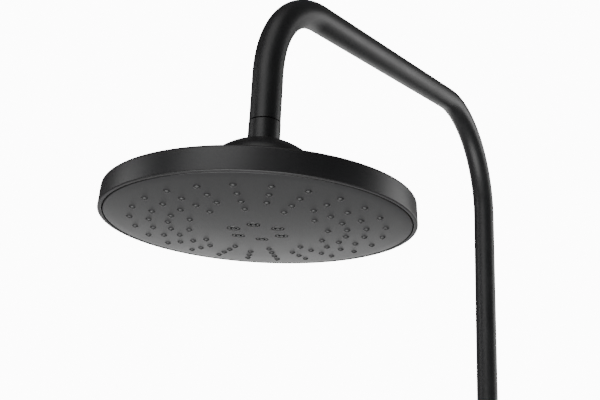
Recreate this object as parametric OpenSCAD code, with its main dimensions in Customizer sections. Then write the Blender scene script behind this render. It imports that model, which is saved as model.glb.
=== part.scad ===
// Rainfall shower column: a wall-held telescopic riser with a swan-neck arm,
// a round rain head on a ball joint and a two-way diverter at its foot.
// Millimetres. The origin is on the supply inlet's axis at the wall's face:
// +Y runs into the wall, -Y into the room, +Z up.

/* [Placement] */
// Distance from the wall to the riser's axis
riser_off = 60; // [50:1:80]
// Height of the head's rim above the supply inlet, at rest
head_z = 860; // [800:5:980]

/* [Arm] */
// Outside diameter of the arm tube
tube_d = 21; // [19:0.1:25.4]
// Wall of the arm tube
tube_wall = 1.2; // [1:0.1:1.5]
// Distance from the riser's axis to the head's axis
reach = 438; // [350:1:530]
// Height above the rim at which the drop starts to bend
drop_h = 104.5; // [90:0.5:140]
// Bend radius over the head, at the tube's centre
head_bend_r = 76.5; // [60:0.5:92]
// Bend radius over the riser, at the tube's centre
riser_bend_r = 95.5; // [70:0.5:115]
// Fall of the arm from riser to head, in degrees
arm_fall = 9.9; // [0:0.1:15]

/* [Lower riser] */
// Outside diameter of the lower riser
lower_d = 26; // [25.5:0.1:34]
// Wall of the lower riser
lower_wall = 1.2; // [1:0.1:1.4]
// Height of the lower riser's top end
lower_top = 640; // [530:5:700]
// Length of arm tube inside the lower riser, at rest
insert_l = 140; // [110:5:200]
// Height of the upper wall bracket
bracket_z = 585; // [300:5:600]

/* [Head] */
// Diameter of the head
head_d = 200; // [160:1:250]
// Height of the head's side wall
head_h = 15.2; // [14:0.1:20]
// Wall of the head's shell
shell_wall = 2.2; // [1.8:0.1:2.6]
// How far the face plate bulges below the rim
face_sag = 4.9; // [3:0.1:6]
// Thickness of the face plate
face_t = 1.8; // [1.5:0.1:2.2]
// Gap between the rim and the face plate
rim_gap = 0.8; // [0.5:0.1:1.2]

/* [Spray] */
// Radius of the inner ring of nozzles
first_ring_r = 44.3; // [40:0.1:50]
// Distance from one ring of nozzles to the next
ring_pitch = 11.95; // [8:0.05:12.4]
// Radius of a nozzle
nozzle_r = 2.2; // [1.8:0.05:2.7]
// How far a nozzle stands out of the face plate
nozzle_out = 1.1; // [1:0.1:2.5]
// Radius of the ring of centre jets
jet_ring_r = 16.15; // [14:0.05:20]
// Radius of a centre jet
jet_r = 3.6; // [3:0.1:4.4]
// Turn of the spray pattern about the head's axis, in degrees
spray_turn = -7; // [-15:0.5:15]

/* [Ball joint] */
// Radius of the ball
ball_r = 8; // [6.7:0.1:8.4]
// Height of the ball's centre above the rim
ball_z = 46.5; // [46:0.1:47]
// Height of the sleeve's top end above the rim
sleeve_top = 69.5; // [66:0.5:80]
// Radius of the dome's curve
dome_r = 49.1; // [47:0.1:55]

/* [Diverter] */
// Outside diameter of the diverter's body
body_d = 36; // [34:0.5:44]
// Half the height of the diverter's body
body_half = 36; // [34:0.5:44]
// Diameter of the knob
knob_d = 36; // [30:0.5:44]
// Length of the knob
knob_l = 24; // [18:0.5:32]
// Diameter of the wall roses
rose_d = 62; // [56:1:80]
// Outside radius of a G1/2 male thread
g12_r = 10.48; // [10.4:0.01:10.48]

/* [Fits] */
// Radial clearance of a running fit
run_gap = 0.05; // [0.02:0.01:0.1]
// Radial clearance of pieces that are screwed or glued together
set_gap = 0.03; // [0.02:0.01:0.1]

/* [Hidden] */
$fn = 96;

black = "#1b1b1d";
brass = "#b5934a";
rubber = "#2b2b2b";
white = "#e6e6e2";
steel = "#b9bcc0";

// Arm: the drop turns through turn_a, runs straight, then turns down to the riser
tube_r = tube_d / 2;
tube_bore = tube_r - tube_wall;
turn_a = 90 - arm_fall;
arm_y = head_bend_r * (1 - cos(turn_a));
arm_z = drop_h + head_bend_r * sin(turn_a);
arm_l = (reach - arm_y - riser_bend_r * (1 + cos(turn_a))) / sin(turn_a);
riser_z = arm_z + arm_l * cos(turn_a) - riser_bend_r * sin(turn_a);
head_y = -riser_off - reach;
groove_h = 0.4;
bend_thin = 0.06;
bend_lap = 1;

// Riser
lower_r = lower_d / 2;
lower_bore = lower_r - lower_wall;
arm_bottom = lower_top - insert_l;
plug_l = 20;
plug_r = lower_bore - 0.2;
plug_spigot = 15;
o_ring_r = 0.75;
o_ring_fit = 0.01;
bush_l = 26;
bush_r = lower_bore - run_gap;

// Lock collar and its collet
collar_r = lower_r + 4;
collar_below = 18;
collar_above = 13;
collet_h = 8;
collet_r = lower_r - 0.3;
grip_n = 16;

// Bracket
bracket_half = 9;
bracket_r = lower_r + 4.5;
post_r = 8.5;
boss_r = 6;
boss_l = 20;
plate_r = rose_d / 2 - 6;
plate_t = 4;
screw_r = 2.75;
screw_gap = 34;
rose_h = 9;
rose_wall = 1.6;
grub_r = 2;

// Diverter
body_r = body_d / 2;
branch_r = 14;
branch_end = 7;
water_r = 7;
tail_in = 12;
tail_back = 1;
tail_r = 9.6;
tail_out = 18;
seat_z = body_half - 20;
nut_h = 14;
nut_r = lower_r + 4.5;
bonnet_r = 14.5;
bonnet_l = body_r + 8;
cart_r = 11;
cart_l = 18;
stem_r = 3;
disc_r = 8;
disc_t = 2;
outlet_l = 12;
outlet_bore = 6.5;
knob_r = knob_d / 2;
knob_y = -riser_off - bonnet_l - 1.5;
knob_bore_l = 12;
cap_r = knob_r - 7;
flute_n = 24;
valve_r = 7.5;

// Head
head_r = head_d / 2;
rim_w = 2.6;
rim_r = head_r - rim_w;
face_r = rim_r - rim_gap;
face_ball_r = (face_r * face_r + face_sag * face_sag) / (2 * face_sag);
lip_t = 1.6;
lip_h = 7;
mat_t = 1.2;
mat_r = face_r - lip_t - 0.3;
rings = 4;
spokes = 24;
nozzle_ball_r = 2.8;
nozzle_bore = 0.55;
jets = 6;
jet_slot_r = 2.2;
jet_slot_l = 0.9;
jet_bore = 1.1;
jet_gap = 0.4;
chamber_z = 5;
chamber_t = 2;
roof_z = head_h - shell_wall;
spigot_r = 12;
passage_r = 4.5;
seal_r = 0.8;

// Hub: seats run between the ball and the socket, the collar screws over the socket body
seat_t = 1.95;
seat_r = ball_r + run_gap + seat_t;
socket_r = seat_r + run_gap;
seat_low = -6;
seat_high = 4.4;
hub_r = socket_r + 3.5;
collar_wall = 2;
collar_top = 5;
collar_skirt = 8;
flange_r = 26;
flange_t = 4;
hub_screws_n = 4;
hub_screw_pcd_r = 21;
hub_screw_r = 1.45;
hub_screw_head_r = 2.8;
hub_screw_head_h = 1.8;
dome_top = 56.5;
dome_z = dome_top - dome_r;
dome_wall = 1.7;
dome_hole_r = sleeve_r() + 1.3;
dome_turn = 50;
shoulder_r = 14;
shoulder_y = (dome_r - shoulder_r) * cos(dome_turn);
shoulder_z = dome_z + (dome_r - shoulder_r) * sin(dome_turn);
sleeve_low = 53.4;
sleeve_floor = 57.5;
neck_r = 5.4;
stud_bore = 3.2;
stud_flange_t = 2.5;
nipple_r = 8.33;
nipple_bore = 6.2;
nipple_up = 14;
washer_t = 1.5;
regulator_t = 3;

function sleeve_r() = tube_r + 0.2;
function face_z(r) = -face_sag + face_ball_r - sqrt(face_ball_r * face_ball_r - r * r);
function arc(y, z, r, a0, a1, n) = [for (i = [0:n]) let (a = a0 + (a1 - a0) * i / n)
    [y + r * cos(a), z + r * sin(a)]];
function reversed(list) = [for (i = [len(list) - 1:-1:0]) list[i]];

module at_head() { translate([0, head_y, head_z]) children(); }
module at_riser(z = 0) { translate([0, -riser_off, z]) children(); }
// Lays local +Z along world -Y, towards the room, starting at y
module towards_room(y, z = 0) { translate([0, y, z]) rotate([90, 0, 0]) children(); }
module ring(r_out, r_in, h) {
    difference() {
        cylinder(r = r_out, h = h);
        translate([0, 0, -1]) cylinder(r = r_in, h = h + 2);
    }
}
module torus(r, section) { rotate_extrude() translate([r, 0]) circle(r = section, $fn = 32); }
// Places children on each nozzle; the inner ring sits on every other spoke only
module each_nozzle() {
    for (s = [0:spokes - 1], k = [s % 2:rings - 1]) {
        r = first_ring_r + k * ring_pitch;
        a = spray_turn + s * 360 / spokes;
        translate([r * cos(a), r * sin(a), face_z(r)]) children();
    }
}
module each_jet() {
    for (s = [0:jets - 1])
        rotate([0, 0, spray_turn + s * 360 / jets])
            translate([jet_ring_r, 0, face_z(jet_ring_r)]) children();
}
// A curved sheet that follows the face, from "above" over its outer surface
module face_sheet(above, t, r) {
    translate([0, 0, above]) rotate_extrude() intersection() {
        translate([0, -face_sag - 1]) square([r, face_sag + t + 4]);
        translate([0, face_ball_r - face_sag]) difference() {
            circle(r = face_ball_r, $fn = 1440);
            translate([0, t]) circle(r = face_ball_r, $fn = 1440);
        }
    }
}

// ---- arm ----
module tube_2d(thin = 0) {
    difference() {
        circle(r = tube_r - thin, $fn = 64);
        circle(r = tube_bore + thin, $fn = 64);
    }
}
module tube_straight(l) { linear_extrude(l) tube_2d(); }
// A bend's wall is a hair thinner, and its ends reach into the walls of the straight stretches
module tube_bend(r, a) {
    rotate([0, 0, -bend_lap]) rotate_extrude(angle = a + 2 * bend_lap)
        translate([r, 0]) tube_2d(bend_thin);
}
module arm_tube() {
    color(black) at_head() rotate([90, 0, 90]) {
        translate([0, sleeve_top + groove_h, 0]) rotate([-90, 0, 0])
            tube_straight(drop_h - sleeve_top - groove_h);
        translate([head_bend_r, drop_h, 0]) rotate([0, 0, 180 - turn_a])
            tube_bend(head_bend_r, turn_a);
        translate([arm_y, arm_z, 0]) rotate([0, 0, 90 - turn_a]) rotate([0, 90, 0])
            tube_straight(arm_l);
        translate([reach - riser_bend_r, riser_z, 0]) tube_bend(riser_bend_r, 180 - turn_a);
        translate([reach, riser_z, 0]) rotate([90, 0, 0])
            tube_straight(riser_z + head_z - arm_bottom);
    }
}
module arm_nipple() {
    shoulder = sleeve_top + groove_h;
    low = sleeve_floor + stud_flange_t + washer_t;
    color(brass) at_head() difference() {
        union() {
            translate([0, 0, low]) cylinder(r = nipple_r, h = shoulder - low);
            translate([0, 0, sleeve_top]) cylinder(r = tube_bore - set_gap, h = nipple_up);
        }
        translate([0, 0, low - 1]) cylinder(r = nipple_bore, h = nipple_up + shoulder);
    }
}
module tube_plug() {
    color(brass) at_riser(arm_bottom) difference() {
        union() {
            translate([0, 0, -plug_l]) cylinder(r = plug_r, h = plug_l);
            cylinder(r = tube_bore - set_gap, h = plug_spigot);
        }
        translate([0, 0, -plug_l - 1]) cylinder(r = water_r, h = plug_l + plug_spigot + 2);
        for (z = [-6, -13])
            translate([0, 0, z - o_ring_r - 0.1])
                ring(plug_r + 1, lower_bore - 2 * o_ring_r - 0.05, 2 * o_ring_r + 0.2);
    }
}
module tube_o_rings() {
    color(rubber) at_riser(arm_bottom)
        for (z = [-6, -13]) translate([0, 0, z]) torus(lower_bore - o_ring_r - o_ring_fit, o_ring_r);
}
module guide_bush() {
    color(white) at_riser(arm_bottom + 0.1) ring(bush_r, tube_r + run_gap, bush_l);
}

// ---- riser, lock collar, bracket ----
module riser_lower() {
    color(black) at_riser(seat_z) ring(lower_r, lower_bore, lower_top - seat_z);
}
module collet() {
    color(white) at_riser(lower_top + 0.1) difference() {
        ring(collet_r, tube_r + 0.08, collet_h);
        for (a = [0:90:270]) rotate([0, 0, a])
            translate([tube_r - 1, -0.6, 2]) cube([lower_wall + 5, 1.2, collet_h]);
    }
}
module lock_collar() {
    color(black) at_riser(lower_top) difference() {
        translate([0, 0, -collar_below]) cylinder(r = collar_r, h = collar_below + collar_above);
        translate([0, 0, -collar_below - 1])
            cylinder(r = lower_r + run_gap, h = collar_below + 1 + collet_h + 0.4);
        cylinder(r = tube_r + 0.3, h = collar_above + 1);
        translate([0, 0, collar_above - 2]) difference() {
            cylinder(r = collar_r + 1, h = 3);
            translate([0, 0, -0.01]) cylinder(r1 = collar_r, r2 = collar_r - 3, h = 3.02);
        }
        for (i = [0:grip_n - 1]) rotate([0, 0, i * 360 / grip_n])
            translate([collar_r + 1.4, 0, -collar_below + 4])
                cylinder(r = 2, h = collar_below + collar_above - 9, $fn = 32);
    }
}
module bracket_ring() {
    color(black) difference() {
        union() {
            at_riser(bracket_z - bracket_half) cylinder(r = bracket_r, h = 2 * bracket_half);
            towards_room(-rose_h + 1, bracket_z) cylinder(r = post_r, h = riser_off - rose_h + 1);
        }
        at_riser(bracket_z - bracket_half - 1)
            cylinder(r = lower_r + set_gap, h = 2 * bracket_half + 2);
        towards_room(1, bracket_z)
            cylinder(r = boss_r + set_gap, h = plate_t + boss_l + 1.5);
        // seats of the two set screws
        towards_room(-riser_off + lower_r, bracket_z) cylinder(r = grub_r, h = 3 * lower_r);
        translate([0, -plate_t - boss_l + 6, bracket_z - 2 * post_r])
            cylinder(r = grub_r, h = 2 * post_r);
    }
}
module bracket_grub_screws() {
    color(steel) {
        towards_room(-riser_off - lower_r - 0.05, bracket_z) difference() {
            cylinder(r = grub_r - set_gap, h = 3.6);
            translate([0, 0, 2]) cylinder(r = 1, h = 3, $fn = 6);
        }
        translate([0, -plate_t - boss_l + 6, bracket_z - post_r + 0.4]) difference() {
            cylinder(r = grub_r - set_gap, h = post_r - boss_r - 0.45);
            translate([0, 0, -1]) cylinder(r = 1, h = 2.2, $fn = 6);
        }
    }
}
module rose(hole_r) {
    rotate_extrude() polygon(concat(
        [[hole_r, rose_h], [hole_r, rose_h - rose_wall],
         [rose_d / 2 - rose_wall - 2, rose_h - rose_wall - 1.5],
         [rose_d / 2 - rose_wall, 0], [rose_d / 2, 0]],
        arc(rose_d / 2 - 3, rose_h - 4, 3, 0, 80, 6)));
}
module bracket_rose() { color(black) towards_room(0, bracket_z) rose(post_r + 0.15); }
module bracket_plate() {
    color(steel) towards_room(0, bracket_z) difference() {
        union() {
            cylinder(r = plate_r, h = plate_t);
            cylinder(r = boss_r, h = plate_t + boss_l);
        }
        for (x = [-1, 1]) translate([x * screw_gap / 2, 0, -1]) cylinder(r = screw_r, h = plate_t + 2);
    }
}

// ---- diverter ----
module diverter_body() {
    color(black) difference() {
        union() {
            at_riser(-body_half) cylinder(r = body_r, h = 2 * body_half);
            towards_room(-branch_end) cylinder(r = branch_r, h = riser_off - branch_end);
            towards_room(-riser_off) cylinder(r = bonnet_r, h = bonnet_l);
        }
        at_riser(seat_z) cylinder(r = lower_r + set_gap, h = body_half);
        at_riser(-body_half - 1) cylinder(r = water_r, h = 2 * body_half);
        at_riser(-body_half - 1) cylinder(r = 10.2 + set_gap, h = 11);
        towards_room(-branch_end + 1) cylinder(r = tail_r + set_gap, h = tail_in + 1);
        towards_room(-branch_end) cylinder(r = water_r, h = riser_off - branch_end);
        towards_room(-riser_off - bonnet_l + cart_l) cylinder(r = cart_r + set_gap, h = cart_l + 1);
        at_riser(seat_z + 6 - seal_r - 0.1)
            ring(lower_r + 2 * seal_r + 0.1, lower_r - 1, 2 * seal_r + 0.2);
    }
}
module inlet_tail() {
    color(brass) difference() {
        union() {
            towards_room(tail_out) cylinder(r = g12_r, h = tail_out + tail_back);
            towards_room(0) cylinder(r = tail_r, h = branch_end + tail_in - 0.5);
        }
        towards_room(tail_out + 1) cylinder(r = water_r, h = tail_out + branch_end + tail_in + 2);
    }
}
module inlet_rose() { color(black) towards_room(0) rose(branch_r + 0.15); }
module inlet_rose_seal() {
    color(rubber) towards_room(0) ring(rose_d / 2 - 4.4, rose_d / 2 - 8, 3);
}
module riser_nut() {
    color(black) at_riser(body_half + 0.05) difference() {
        cylinder(r = nut_r, h = nut_h);
        translate([0, 0, -1]) cylinder(r = lower_r + set_gap, h = nut_h + 2);
        translate([0, 0, nut_h - 1.5]) difference() {
            cylinder(r = nut_r + 1, h = 2);
            translate([0, 0, -0.01]) cylinder(r1 = nut_r, r2 = nut_r - 2, h = 2.02);
        }
        for (i = [0:grip_n - 1]) rotate([0, 0, i * 360 / grip_n])
            translate([nut_r + 1.4, 0, 2.5]) cylinder(r = 2, h = nut_h - 6, $fn = 32);
    }
}
module riser_seal() {
    color(rubber) at_riser(seat_z + 6) torus(lower_r + seal_r + 0.02, seal_r - 0.02);
}
module hose_outlet() {
    color(brass) at_riser(-body_half) difference() {
        union() {
            translate([0, 0, -outlet_l]) cylinder(r = g12_r, h = outlet_l - 2);
            translate([0, 0, -2]) cylinder(r = 13, h = 1.95);
            translate([0, 0, -2]) cylinder(r = 10.2, h = 11);
        }
        translate([0, 0, -outlet_l - 1]) cylinder(r = outlet_bore, h = outlet_l + 6);
        translate([0, 0, 1]) cylinder(r = valve_r + set_gap, h = 9);
    }
}
module check_valve() {
    color(white) at_riser(-body_half + 1.1) difference() {
        cylinder(r = valve_r, h = 7.5);
        for (a = [0:60:300]) rotate([0, 0, a])
            translate([4.6, 0, -1]) cylinder(r = 1.6, h = 9.5, $fn = 32);
    }
}
module cartridge() {
    color(white) towards_room(-riser_off - bonnet_l + cart_l - 0.05) difference() {
        cylinder(r = cart_r, h = cart_l - 2.5);
        translate([0, 0, -1]) cylinder(r = stem_r + run_gap, h = cart_l + 2);
        translate([0, 0, 2]) cylinder(r = disc_r + run_gap, h = disc_t + 2);
        for (a = [0, 180]) rotate([0, 0, a]) translate([5.5, 0, -1]) cylinder(r = 2, h = 4, $fn = 32);
    }
}
module cartridge_ring() {
    color(brass) towards_room(-riser_off - bonnet_l + 2.4) ring(cart_r, stem_r + 2, 2.3);
}
module ceramic_disc() {
    color(white) towards_room(-riser_off - bonnet_l + cart_l - 2.1) difference() {
        cylinder(r = disc_r, h = disc_t);
        translate([0, 0, -1]) cylinder(r = stem_r + set_gap, h = disc_t + 2);
        translate([5.5, 0, -1]) cylinder(r = 1.8, h = disc_t + 2, $fn = 32);
    }
}
module diverter_stem() {
    color(brass) towards_room(-riser_off - bonnet_l + cart_l - 2)
        cylinder(r = stem_r, h = cart_l - 2 + 1.5 + knob_bore_l - 0.5);
}
module diverter_knob() {
    color(black) towards_room(knob_y) difference() {
        cylinder(r = knob_r, h = knob_l);
        translate([0, 0, -1]) cylinder(r = stem_r + set_gap, h = knob_bore_l + 1);
        translate([0, 0, -0.01]) ring(knob_r - 3, stem_r + 4, 5);
        translate([0, 0, knob_l - 1.2]) cylinder(r = cap_r + set_gap, h = 2);
        translate([0, 0, knob_l - 1.5]) difference() {
            cylinder(r = knob_r + 1, h = 2);
            translate([0, 0, -0.01]) cylinder(r1 = knob_r, r2 = knob_r - 2, h = 2.02);
        }
        for (i = [0:flute_n - 1]) rotate([0, 0, (i + 0.5) * 360 / flute_n])
            translate([knob_r + 0.7, 0, 3]) cylinder(r = 1.3, h = knob_l - 7, $fn = 32);
        translate([0, 0, 8]) rotate([90, 0, 0]) cylinder(r = grub_r, h = knob_r + 1, $fn = 32);
    }
}
module knob_screw() {
    color(steel) towards_room(knob_y) translate([0, -stem_r - 0.05, 8]) rotate([90, 0, 0])
        cylinder(r = grub_r - set_gap, h = 6, $fn = 32);
}
module knob_cap() {
    color(black) towards_room(knob_y - knob_l + 1.1) cylinder(r = cap_r, h = 1.1);
}

// ---- swivel ----
module swivel_sleeve() {
    color(black) at_head() difference() {
        translate([0, 0, sleeve_low]) cylinder(r = sleeve_r(), h = sleeve_top - sleeve_low);
        translate([0, 0, sleeve_floor]) cylinder(r = nipple_r + set_gap, h = sleeve_top);
        translate([0, 0, sleeve_low - 1]) cylinder(r = neck_r + set_gap, h = sleeve_top);
    }
}
module ball_stud() {
    color(brass) at_head() difference() {
        union() {
            translate([0, 0, ball_z]) sphere(r = ball_r);
            translate([0, 0, ball_z]) cylinder(r = neck_r, h = sleeve_floor + 1 - ball_z);
            translate([0, 0, sleeve_floor + 0.02]) cylinder(r = nipple_r, h = stud_flange_t - 0.02);
        }
        translate([0, 0, ball_z - 2 * ball_r]) cylinder(r = stud_bore, h = 4 * ball_r);
    }
}
module inlet_washer() {
    color(rubber) at_head() translate([0, 0, sleeve_floor + stud_flange_t])
        ring(nipple_r - 0.05, stud_bore + 0.8, washer_t);
}
module flow_regulator() {
    low = sleeve_floor + stud_flange_t + washer_t;
    color(white) at_head() translate([0, 0, low]) difference() {
        cylinder(r = nipple_bore - set_gap, h = regulator_t);
        for (a = [0:60:300]) rotate([0, 0, a])
            translate([2.6, 0, -1]) cylinder(r = 0.8, h = regulator_t + 2, $fn = 24);
    }
}
module filter_screen() {
    low = sleeve_floor + stud_flange_t + washer_t + regulator_t + 0.1;
    color(steel) at_head() translate([0, 0, low]) difference() {
        cylinder(r = nipple_bore - set_gap, h = 0.8);
        for (x = [-4:2:4], y = [-4:2:4]) if (x * x + y * y < 20)
            translate([x, y, -1]) cylinder(r = 0.6, h = 3, $fn = 16);
    }
}
module seat(low, high) {
    at_head() translate([0, 0, ball_z]) difference() {
        intersection() {
            sphere(r = seat_r);
            translate([0, 0, low]) cylinder(r = 2 * seat_r, h = high - low);
        }
        sphere(r = ball_r + run_gap);
    }
}
module seat_lower() { color(white) seat(seat_low, 0); }
module seat_upper() { color(white) seat(0, seat_high); }

// ---- head ----
module head_shell() {
    edge = 0.8;
    crown = 2;
    outer = concat(
        arc(head_r - edge, edge, edge, -90, 0, 4),
        arc(head_r - crown - 0.7, head_h - crown, crown, 0, 90, 6));
    color(black) at_head() difference() {
        rotate_extrude() polygon(concat(outer, [[spigot_r + set_gap, head_h], [spigot_r + set_gap, roof_z],
            [rim_r, roof_z], [rim_r, 0]]));
        for (i = [0:hub_screws_n - 1]) rotate([0, 0, 45 + i * 360 / hub_screws_n])
            translate([hub_screw_pcd_r, 0, roof_z - 1])
                cylinder(r = hub_screw_r + 0.15, h = shell_wall + 2, $fn = 32);
    }
}
module dome_cover() {
    function side(t) = concat(
        arc(0, dome_z, dome_r - t, acos(dome_hole_r / (dome_r - t)), dome_turn, 8),
        arc(shoulder_y, shoulder_z, shoulder_r - t, dome_turn - 8, 0, 6),
        [[shoulder_y + shoulder_r - t, head_h]]);
    color(black) at_head()
        rotate_extrude() polygon(concat(side(0), reversed(side(dome_wall))));
}
module socket_body() {
    color(white) at_head() difference() {
        union() {
            translate([0, 0, roof_z]) cylinder(r = spigot_r, h = flange_t);
            translate([0, 0, head_h]) cylinder(r = flange_r, h = flange_t);
            translate([0, 0, head_h]) cylinder(r = hub_r, h = ball_z - head_h);
        }
        translate([0, 0, ball_z]) sphere(r = socket_r);
        translate([0, 0, 0]) cylinder(r = passage_r, h = ball_z);
        for (i = [0:hub_screws_n - 1]) rotate([0, 0, 45 + i * 360 / hub_screws_n])
            translate([hub_screw_pcd_r, 0, head_h - 1])
                cylinder(r = hub_screw_r + set_gap, h = flange_t - 0.2, $fn = 32);
        translate([0, 0, head_h - 0.01]) ring(spigot_r + 3, spigot_r + 1, 1.4);
    }
}
module socket_seal() {
    color(rubber) at_head() translate([0, 0, head_h + 0.69]) torus(spigot_r + 2, 0.68);
}
module retaining_collar() {
    color(brass) at_head() difference() {
        translate([0, 0, ball_z - collar_skirt])
            cylinder(r = hub_r + collar_wall, h = collar_skirt + collar_top);
        translate([0, 0, ball_z - collar_skirt - 1]) cylinder(r = hub_r + set_gap, h = collar_skirt + 1.02);
        translate([0, 0, ball_z]) sphere(r = socket_r);
    }
}
module hub_screws() {
    color(steel) at_head() for (i = [0:hub_screws_n - 1])
        rotate([0, 0, 45 + i * 360 / hub_screws_n]) translate([hub_screw_pcd_r, 0, roof_z]) difference() {
            union() {
                translate([0, 0, -hub_screw_head_h])
                    cylinder(r = hub_screw_head_r, h = hub_screw_head_h, $fn = 32);
                cylinder(r = hub_screw_r, h = shell_wall + flange_t - 1.4, $fn = 32);
            }
            translate([0, 0, -hub_screw_head_h - 1]) cylinder(r = 1.2, h = 2, $fn = 6);
        }
}
module chamber_plate() {
    color(white) at_head() difference() {
        union() {
            translate([0, 0, chamber_z]) cylinder(r = mat_r, h = chamber_t);
            translate([0, 0, face_z(mat_r) + face_t + mat_t + 0.1])
                ring(mat_r, mat_r - 1.6, chamber_z + 1 - face_z(mat_r) - face_t - mat_t);
            for (r = [30, 62]) translate([0, 0, chamber_z]) ring(r, r - 1.5, chamber_t + 3);
        }
        for (a = [0:30:330]) rotate([0, 0, a]) translate([38, 0, 0]) cylinder(r = 3.5, h = 20, $fn = 32);
        for (a = [15:30:345]) rotate([0, 0, a]) translate([72, 0, 0]) cylinder(r = 3, h = 20, $fn = 32);
        each_jet() cylinder(r = jet_r + 0.1, h = 30, $fn = 48);
    }
}
module face_plate() {
    color(black) at_head() difference() {
        union() {
            face_sheet(0, face_t, face_r);
            translate([0, 0, face_z(face_r) + face_t / 2]) ring(face_r, face_r - lip_t, lip_h);
        }
        each_nozzle() translate([0, 0, -1]) cylinder(r = nozzle_r + 0.05, h = 4, $fn = 32);
        each_jet() translate([0, 0, -1]) cylinder(r = jet_r + jet_gap, h = 4, $fn = 48);
        translate([0, 0, face_z(face_r) + 3.5])
            ring(face_r + 1, rim_r - 2 * seal_r - 0.05, 2 * seal_r + 0.2);
    }
}
module nozzle_mat() {
    cap = nozzle_ball_r - nozzle_out;
    color(rubber) at_head() difference() {
        union() {
            face_sheet(face_t, mat_t, mat_r);
            each_nozzle() intersection() {
                translate([0, 0, -nozzle_out - 1])
                    cylinder(r = nozzle_r, h = nozzle_out + 1 + face_t + mat_t / 2, $fn = 32);
                union() {
                    translate([0, 0, cap]) sphere(r = nozzle_ball_r, $fn = 48);
                    translate([0, 0, cap]) cylinder(r = nozzle_r + 1, h = 10);
                }
            }
        }
        each_nozzle() translate([0, 0, -nozzle_out - 1]) cylinder(r = nozzle_bore, h = 10, $fn = 24);
        each_jet() translate([0, 0, -1]) cylinder(r = jet_r + 0.1, h = 10, $fn = 48);
    }
}
module jet_inserts() {
    color(rubber) at_head() each_jet() difference() {
        cylinder(r = jet_r, h = 14, $fn = 48);
        translate([0, 0, -1]) cylinder(r = jet_bore, h = 20, $fn = 24);
        translate([0, 0, -1]) cylinder(r = jet_slot_r, h = 1 + jet_slot_l, $fn = 32);
    }
}
module face_seal() {
    color(rubber) at_head() translate([0, 0, face_z(face_r) + 3.6 + seal_r])
        torus(rim_r - seal_r - 0.02, seal_r - 0.02);
}

riser_lower();
bracket_ring();
bracket_rose();
bracket_plate();
bracket_grub_screws();
collet();
lock_collar();
diverter_body();
inlet_tail();
inlet_rose();
inlet_rose_seal();
riser_nut();
riser_seal();
hose_outlet();
check_valve();
cartridge();
cartridge_ring();
diverter_stem();
ceramic_disc();
diverter_knob();
knob_screw();
knob_cap();
guide_bush();
tube_plug();
tube_o_rings();
arm_tube();
arm_nipple();
swivel_sleeve();
ball_stud();
inlet_washer();
flow_regulator();
filter_screen();
seat_lower();
seat_upper();
head_shell();
dome_cover();
socket_body();
socket_seal();
retaining_collar();
hub_screws();
chamber_plate();
face_plate();
nozzle_mat();
jet_inserts();
face_seal();
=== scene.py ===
from math import acos, asin, cos, degrees, pi, radians, sin, sqrt

import bmesh
import bpy
from mathutils import Matrix, Vector


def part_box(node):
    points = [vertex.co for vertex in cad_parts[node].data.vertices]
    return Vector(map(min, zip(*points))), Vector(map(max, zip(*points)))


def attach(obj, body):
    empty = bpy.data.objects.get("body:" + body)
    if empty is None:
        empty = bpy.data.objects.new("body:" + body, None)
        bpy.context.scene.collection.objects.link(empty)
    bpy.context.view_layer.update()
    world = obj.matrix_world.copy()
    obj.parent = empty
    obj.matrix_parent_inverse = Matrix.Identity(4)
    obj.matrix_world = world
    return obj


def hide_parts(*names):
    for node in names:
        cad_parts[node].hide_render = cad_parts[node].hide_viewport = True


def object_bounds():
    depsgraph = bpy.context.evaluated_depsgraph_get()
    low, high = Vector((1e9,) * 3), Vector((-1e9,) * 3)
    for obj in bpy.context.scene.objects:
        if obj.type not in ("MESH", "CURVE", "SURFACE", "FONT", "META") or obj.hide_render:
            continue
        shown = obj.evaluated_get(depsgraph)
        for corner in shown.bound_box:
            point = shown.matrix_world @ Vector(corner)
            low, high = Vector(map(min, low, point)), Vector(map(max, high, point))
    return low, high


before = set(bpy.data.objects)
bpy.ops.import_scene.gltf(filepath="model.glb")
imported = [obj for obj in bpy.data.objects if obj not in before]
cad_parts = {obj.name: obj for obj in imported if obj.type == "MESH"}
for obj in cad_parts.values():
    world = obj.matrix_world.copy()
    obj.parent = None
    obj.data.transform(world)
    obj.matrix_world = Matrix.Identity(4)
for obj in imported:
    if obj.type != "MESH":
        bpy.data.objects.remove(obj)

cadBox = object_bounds()
scene = bpy.context.scene
mm = 0.001  # all piece values below are in millimetres


# ---- places, read from the frame ----
def middle(node):
    low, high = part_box(node)
    return Vector([(a + b) / 2 for a, b in zip(low, high)])


def size(node):
    low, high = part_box(node)
    return Vector([(b - a) / mm for a, b in zip(low, high)])


rimLow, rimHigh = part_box("head_shell")
headAt = Vector((middle("head_shell").x, middle("head_shell").y, rimLow[2]))
riserAt = Vector((middle("riser_lower").x, middle("riser_lower").y, 0))
headR = size("head_shell").x / 2
print("frame loaded, head radius", round(headR, 2))


# ---- mesh helpers ----
def arc(y, z, r, start, end, steps):
    out = []
    for i in range(steps + 1):
        a = radians(start + (end - start) * i / steps)
        out.append((y + r * cos(a), z + r * sin(a)))
    return out


def place(at, towards="up"):
    turn = {"up": Matrix.Identity(4), "down": Matrix.Rotation(pi, 4, "X"),
            "room": Matrix.Rotation(pi / 2, 4, "X"), "wall": Matrix.Rotation(-pi / 2, 4, "X")}
    return Matrix.Translation(at) @ turn[towards]


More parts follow.
